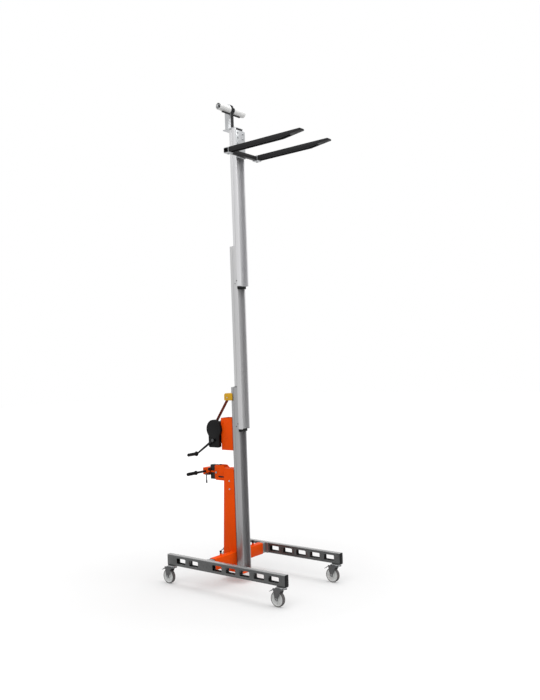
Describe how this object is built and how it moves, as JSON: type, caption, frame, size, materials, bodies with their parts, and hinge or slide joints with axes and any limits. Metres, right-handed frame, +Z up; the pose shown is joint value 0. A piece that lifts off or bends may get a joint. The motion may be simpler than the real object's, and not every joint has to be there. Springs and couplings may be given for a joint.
{
  "type": "material lift",
  "caption": "Manual material lift: telescopic aluminium mast of nested extrusions, geared winch with strap, fork carriage, folding push handle and a windowed frame on braked swivel casters.",
  "frame": {"origin": "middle of the machine's footprint box at floor level", "axes": "+Z up along the mast, -Y the way the forks point, +Y the operator side with winch and push handle, -X the side of the crank"},
  "size_m": [0.83, 1.5312, 4.1558],
  "materials": {
    "orange_paint": "satin powder coat",
    "galvanised": "hot-dip galvanised",
    "zinc": "zinc plated",
    "aluminium": "mill-finish extrusion",
    "black_plastic": "fine grain",
    "black_steel": "satin black",
    "strap_webbing": "woven polyester",
    "yellow_paint": "satin",
    "wheel": "polyamide, satin",
    "roller": "satin"
  },
  "bodies": {
    "base": {"column": "orange_paint", "cross_beam": "orange_paint", "foot_plate": "orange_paint", "handle_bracket": "orange_paint", "handle_pivot": "zinc", "leg_cap_front_left": "black_plastic", "leg_cap_front_right": "black_plastic", "leg_cap_rear_left": "black_plastic", "leg_cap_rear_right": "black_plastic", "leg_left": "galvanised", "leg_right": "galvanised", "leg_stub_left": "zinc", "leg_stub_right": "zinc", "lift_strap": "strap_webbing", "mast_outer": "aluminium", "mast_outer_collar": "black_plastic", "pulley_guard": "yellow_paint", "pulley_pin": "zinc", "winch_bracket": "orange_paint", "winch_cover": "black_plastic", "winch_frame": "black_steel"},
    "middle_stage": {"mast_middle": "aluminium", "mast_middle_shoe": "black_plastic"},
    "inner_stage": {"mast_inner": "aluminium", "mast_inner_shoe": "black_plastic", "head_bracket": "zinc"},
    "carriage": {"carriage_plate": "zinc", "carriage_slider": "black_plastic", "fork_crossbar": "black_steel", "fork_right": "black_steel", "fork_left": "black_steel"},
    "drum": {"winch_drum": "zinc", "strap_winding": "strap_webbing", "winch_gear": "zinc"},
    "crank": {"crank_shaft": "zinc", "crank_arm": "black_steel"},
    "crank_handle": {"crank_grip": "black_plastic"},
    "strap_pulley": {"guide_pulley": "zinc"},
    "push_handle": {"handle_arm": "black_steel", "handle_clamp": "orange_paint", "handlebar": "black_steel", "handlebar_grip_right": "black_plastic", "handlebar_grip_left": "black_plastic"},
    "lever": {"handle_lock_lever": "zinc"},
    "lock_pin_right": {"leg_lock_right": "black_plastic"},
    "lock_pin_left": {"leg_lock_left": "black_plastic"},
    "roller_right": {"head_roller_right": "roller"},
    "roller_left": {"head_roller_left": "roller"},
    "swivel_front_right": {"caster_fork_front_right": "zinc"},
    "wheel_front_right": {"caster_wheel_front_right": "wheel"},
    "pedal_front_right": {"caster_pedal_front_right": "zinc"},
    "swivel_front_left": {"caster_fork_front_left": "zinc"},
    "wheel_front_left": {"caster_wheel_front_left": "wheel"},
    "pedal_front_left": {"caster_pedal_front_left": "zinc"},
    "swivel_rear_right": {"caster_fork_rear_right": "zinc"},
    "wheel_rear_right": {"caster_wheel_rear_right": "wheel"},
    "pedal_rear_right": {"caster_pedal_rear_right": "zinc"},
    "swivel_rear_left": {"caster_fork_rear_left": "zinc"},
    "wheel_rear_left": {"caster_wheel_rear_left": "wheel"},
    "pedal_rear_left": {"caster_pedal_rear_left": "zinc"}
  },
  "joints": [
    {"name": "middle_slide", "type": "slide", "parent": "base", "child": "middle_stage", "axis": [0, 0, 1], "range_m": [-1.2, 0]},
    {"name": "inner_slide", "type": "slide", "parent": "middle_stage", "child": "inner_stage", "axis": [0, 0, 1], "range_m": [-1, 0]},
    {"name": "carriage_slide", "type": "slide", "parent": "inner_stage", "child": "carriage", "axis": [0, 0, 1], "range_m": [-1.18, 0]},
    {"name": "drum_spin", "type": "hinge", "parent": "base", "child": "drum", "pos_m": [0, 0.39155, 1.33], "axis": [1, 0, 0], "continuous": true},
    {"name": "crank_spin", "type": "hinge", "parent": "base", "child": "crank", "pos_m": [0, 0.39155, 1.2325], "axis": [1, 0, 0], "continuous": true},
    {"name": "pulley_spin", "type": "hinge", "parent": "base", "child": "strap_pulley", "pos_m": [0, 0.23205, 1.61], "axis": [1, 0, 0], "continuous": true},
    {"name": "grip_spin", "type": "hinge", "parent": "crank", "child": "crank_handle", "pos_m": [-0.0891, 0.58612, 1.10614], "axis": [1, 0, 0], "continuous": true},
    {"name": "handle_fold", "type": "hinge", "parent": "base", "child": "push_handle", "pos_m": [0, 0.41655, 0.94], "axis": [-1, 0, 0], "range_deg": [0, 88]},
    {"name": "lever_swing", "type": "hinge", "parent": "push_handle", "child": "lever", "pos_m": [-0.04, 0.52155, 0.921], "axis": [1, 0, 0], "range_deg": [0, 90]},
    {"name": "lock_pull_right", "type": "slide", "parent": "base", "child": "lock_pin_right", "axis": [0, 0, 1], "range_m": [0, 0.014], "stiffness_N_per_m": 800, "springref_m": -0.004},
    {"name": "roller_spin_right", "type": "hinge", "parent": "inner_stage", "child": "roller_right", "pos_m": [0, 0.12205, 4.1083], "axis": [1, 0, 0], "continuous": true},
    {"name": "lock_pull_left", "type": "slide", "parent": "base", "child": "lock_pin_left", "axis": [0, 0, 1], "range_m": [0, 0.014], "stiffness_N_per_m": 800, "springref_m": -0.004},
    {"name": "roller_spin_left", "type": "hinge", "parent": "inner_stage", "child": "roller_left", "pos_m": [0, 0.12205, 4.1083], "axis": [1, 0, 0], "continuous": true},
    {"name": "caster_swivel_front_right", "type": "hinge", "parent": "base", "child": "swivel_front_right", "pos_m": [-0.385, -0.56545, 0.168], "axis": [0, 0, 1], "continuous": true},
    {"name": "caster_roll_front_right", "type": "hinge", "parent": "swivel_front_right", "child": "wheel_front_right", "pos_m": [-0.385, -0.51545, 0.0625], "axis": [1, 0, 0], "continuous": true},
    {"name": "pedal_press_front_right", "type": "hinge", "parent": "swivel_front_right", "child": "pedal_front_right", "pos_m": [-0.385, -0.53545, 0.14], "axis": [-1, 0, 0], "range_deg": [0, 12]},
    {"name": "caster_swivel_front_left", "type": "hinge", "parent": "base", "child": "swivel_front_left", "pos_m": [0.385, -0.56545, 0.168], "axis": [0, 0, 1], "continuous": true},
    {"name": "caster_roll_front_left", "type": "hinge", "parent": "swivel_front_left", "child": "wheel_front_left", "pos_m": [0.385, -0.51545, 0.0625], "axis": [1, 0, 0], "continuous": true},
    {"name": "pedal_press_front_left", "type": "hinge", "parent": "swivel_front_left", "child": "pedal_front_left", "pos_m": [0.385, -0.53545, 0.14], "axis": [-1, 0, 0], "range_deg": [0, 12]},
    {"name": "caster_swivel_rear_right", "type": "hinge", "parent": "base", "child": "swivel_rear_right", "pos_m": [-0.385, 0.63955, 0.168], "axis": [0, 0, 1], "continuous": true},
    {"name": "caster_roll_rear_right", "type": "hinge", "parent": "swivel_rear_right", "child": "wheel_rear_right", "pos_m": [-0.385, 0.68955, 0.0625], "axis": [1, 0, 0], "continuous": true},
    {"name": "pedal_press_rear_right", "type": "hinge", "parent": "swivel_rear_right", "child": "pedal_rear_right", "pos_m": [-0.385, 0.66955, 0.14], "axis": [-1, 0, 0], "range_deg": [0, 12]},
    {"name": "caster_swivel_rear_left", "type": "hinge", "parent": "base", "child": "swivel_rear_left", "pos_m": [0.385, 0.63955, 0.168], "axis": [0, 0, 1], "continuous": true},
    {"name": "caster_roll_rear_left", "type": "hinge", "parent": "swivel_rear_left", "child": "wheel_rear_left", "pos_m": [0.385, 0.68955, 0.0625], "axis": [1, 0, 0], "continuous": true},
    {"name": "pedal_press_rear_left", "type": "hinge", "parent": "swivel_rear_left", "child": "pedal_rear_left", "pos_m": [0.385, 0.66955, 0.14], "axis": [-1, 0, 0], "range_deg": [0, 12]}
  ],
  "couplings": [
    {"joint": "inner_slide", "follows": "middle_slide", "ratio": 0.83333},
    {"joint": "carriage_slide", "follows": "middle_slide", "ratio": 0.98333},
    {"joint": "crank_spin", "follows": "drum_spin", "ratio": -2.9},
    {"joint": "pulley_spin", "follows": "drum_spin", "ratio": 2.3546}
  ]
}
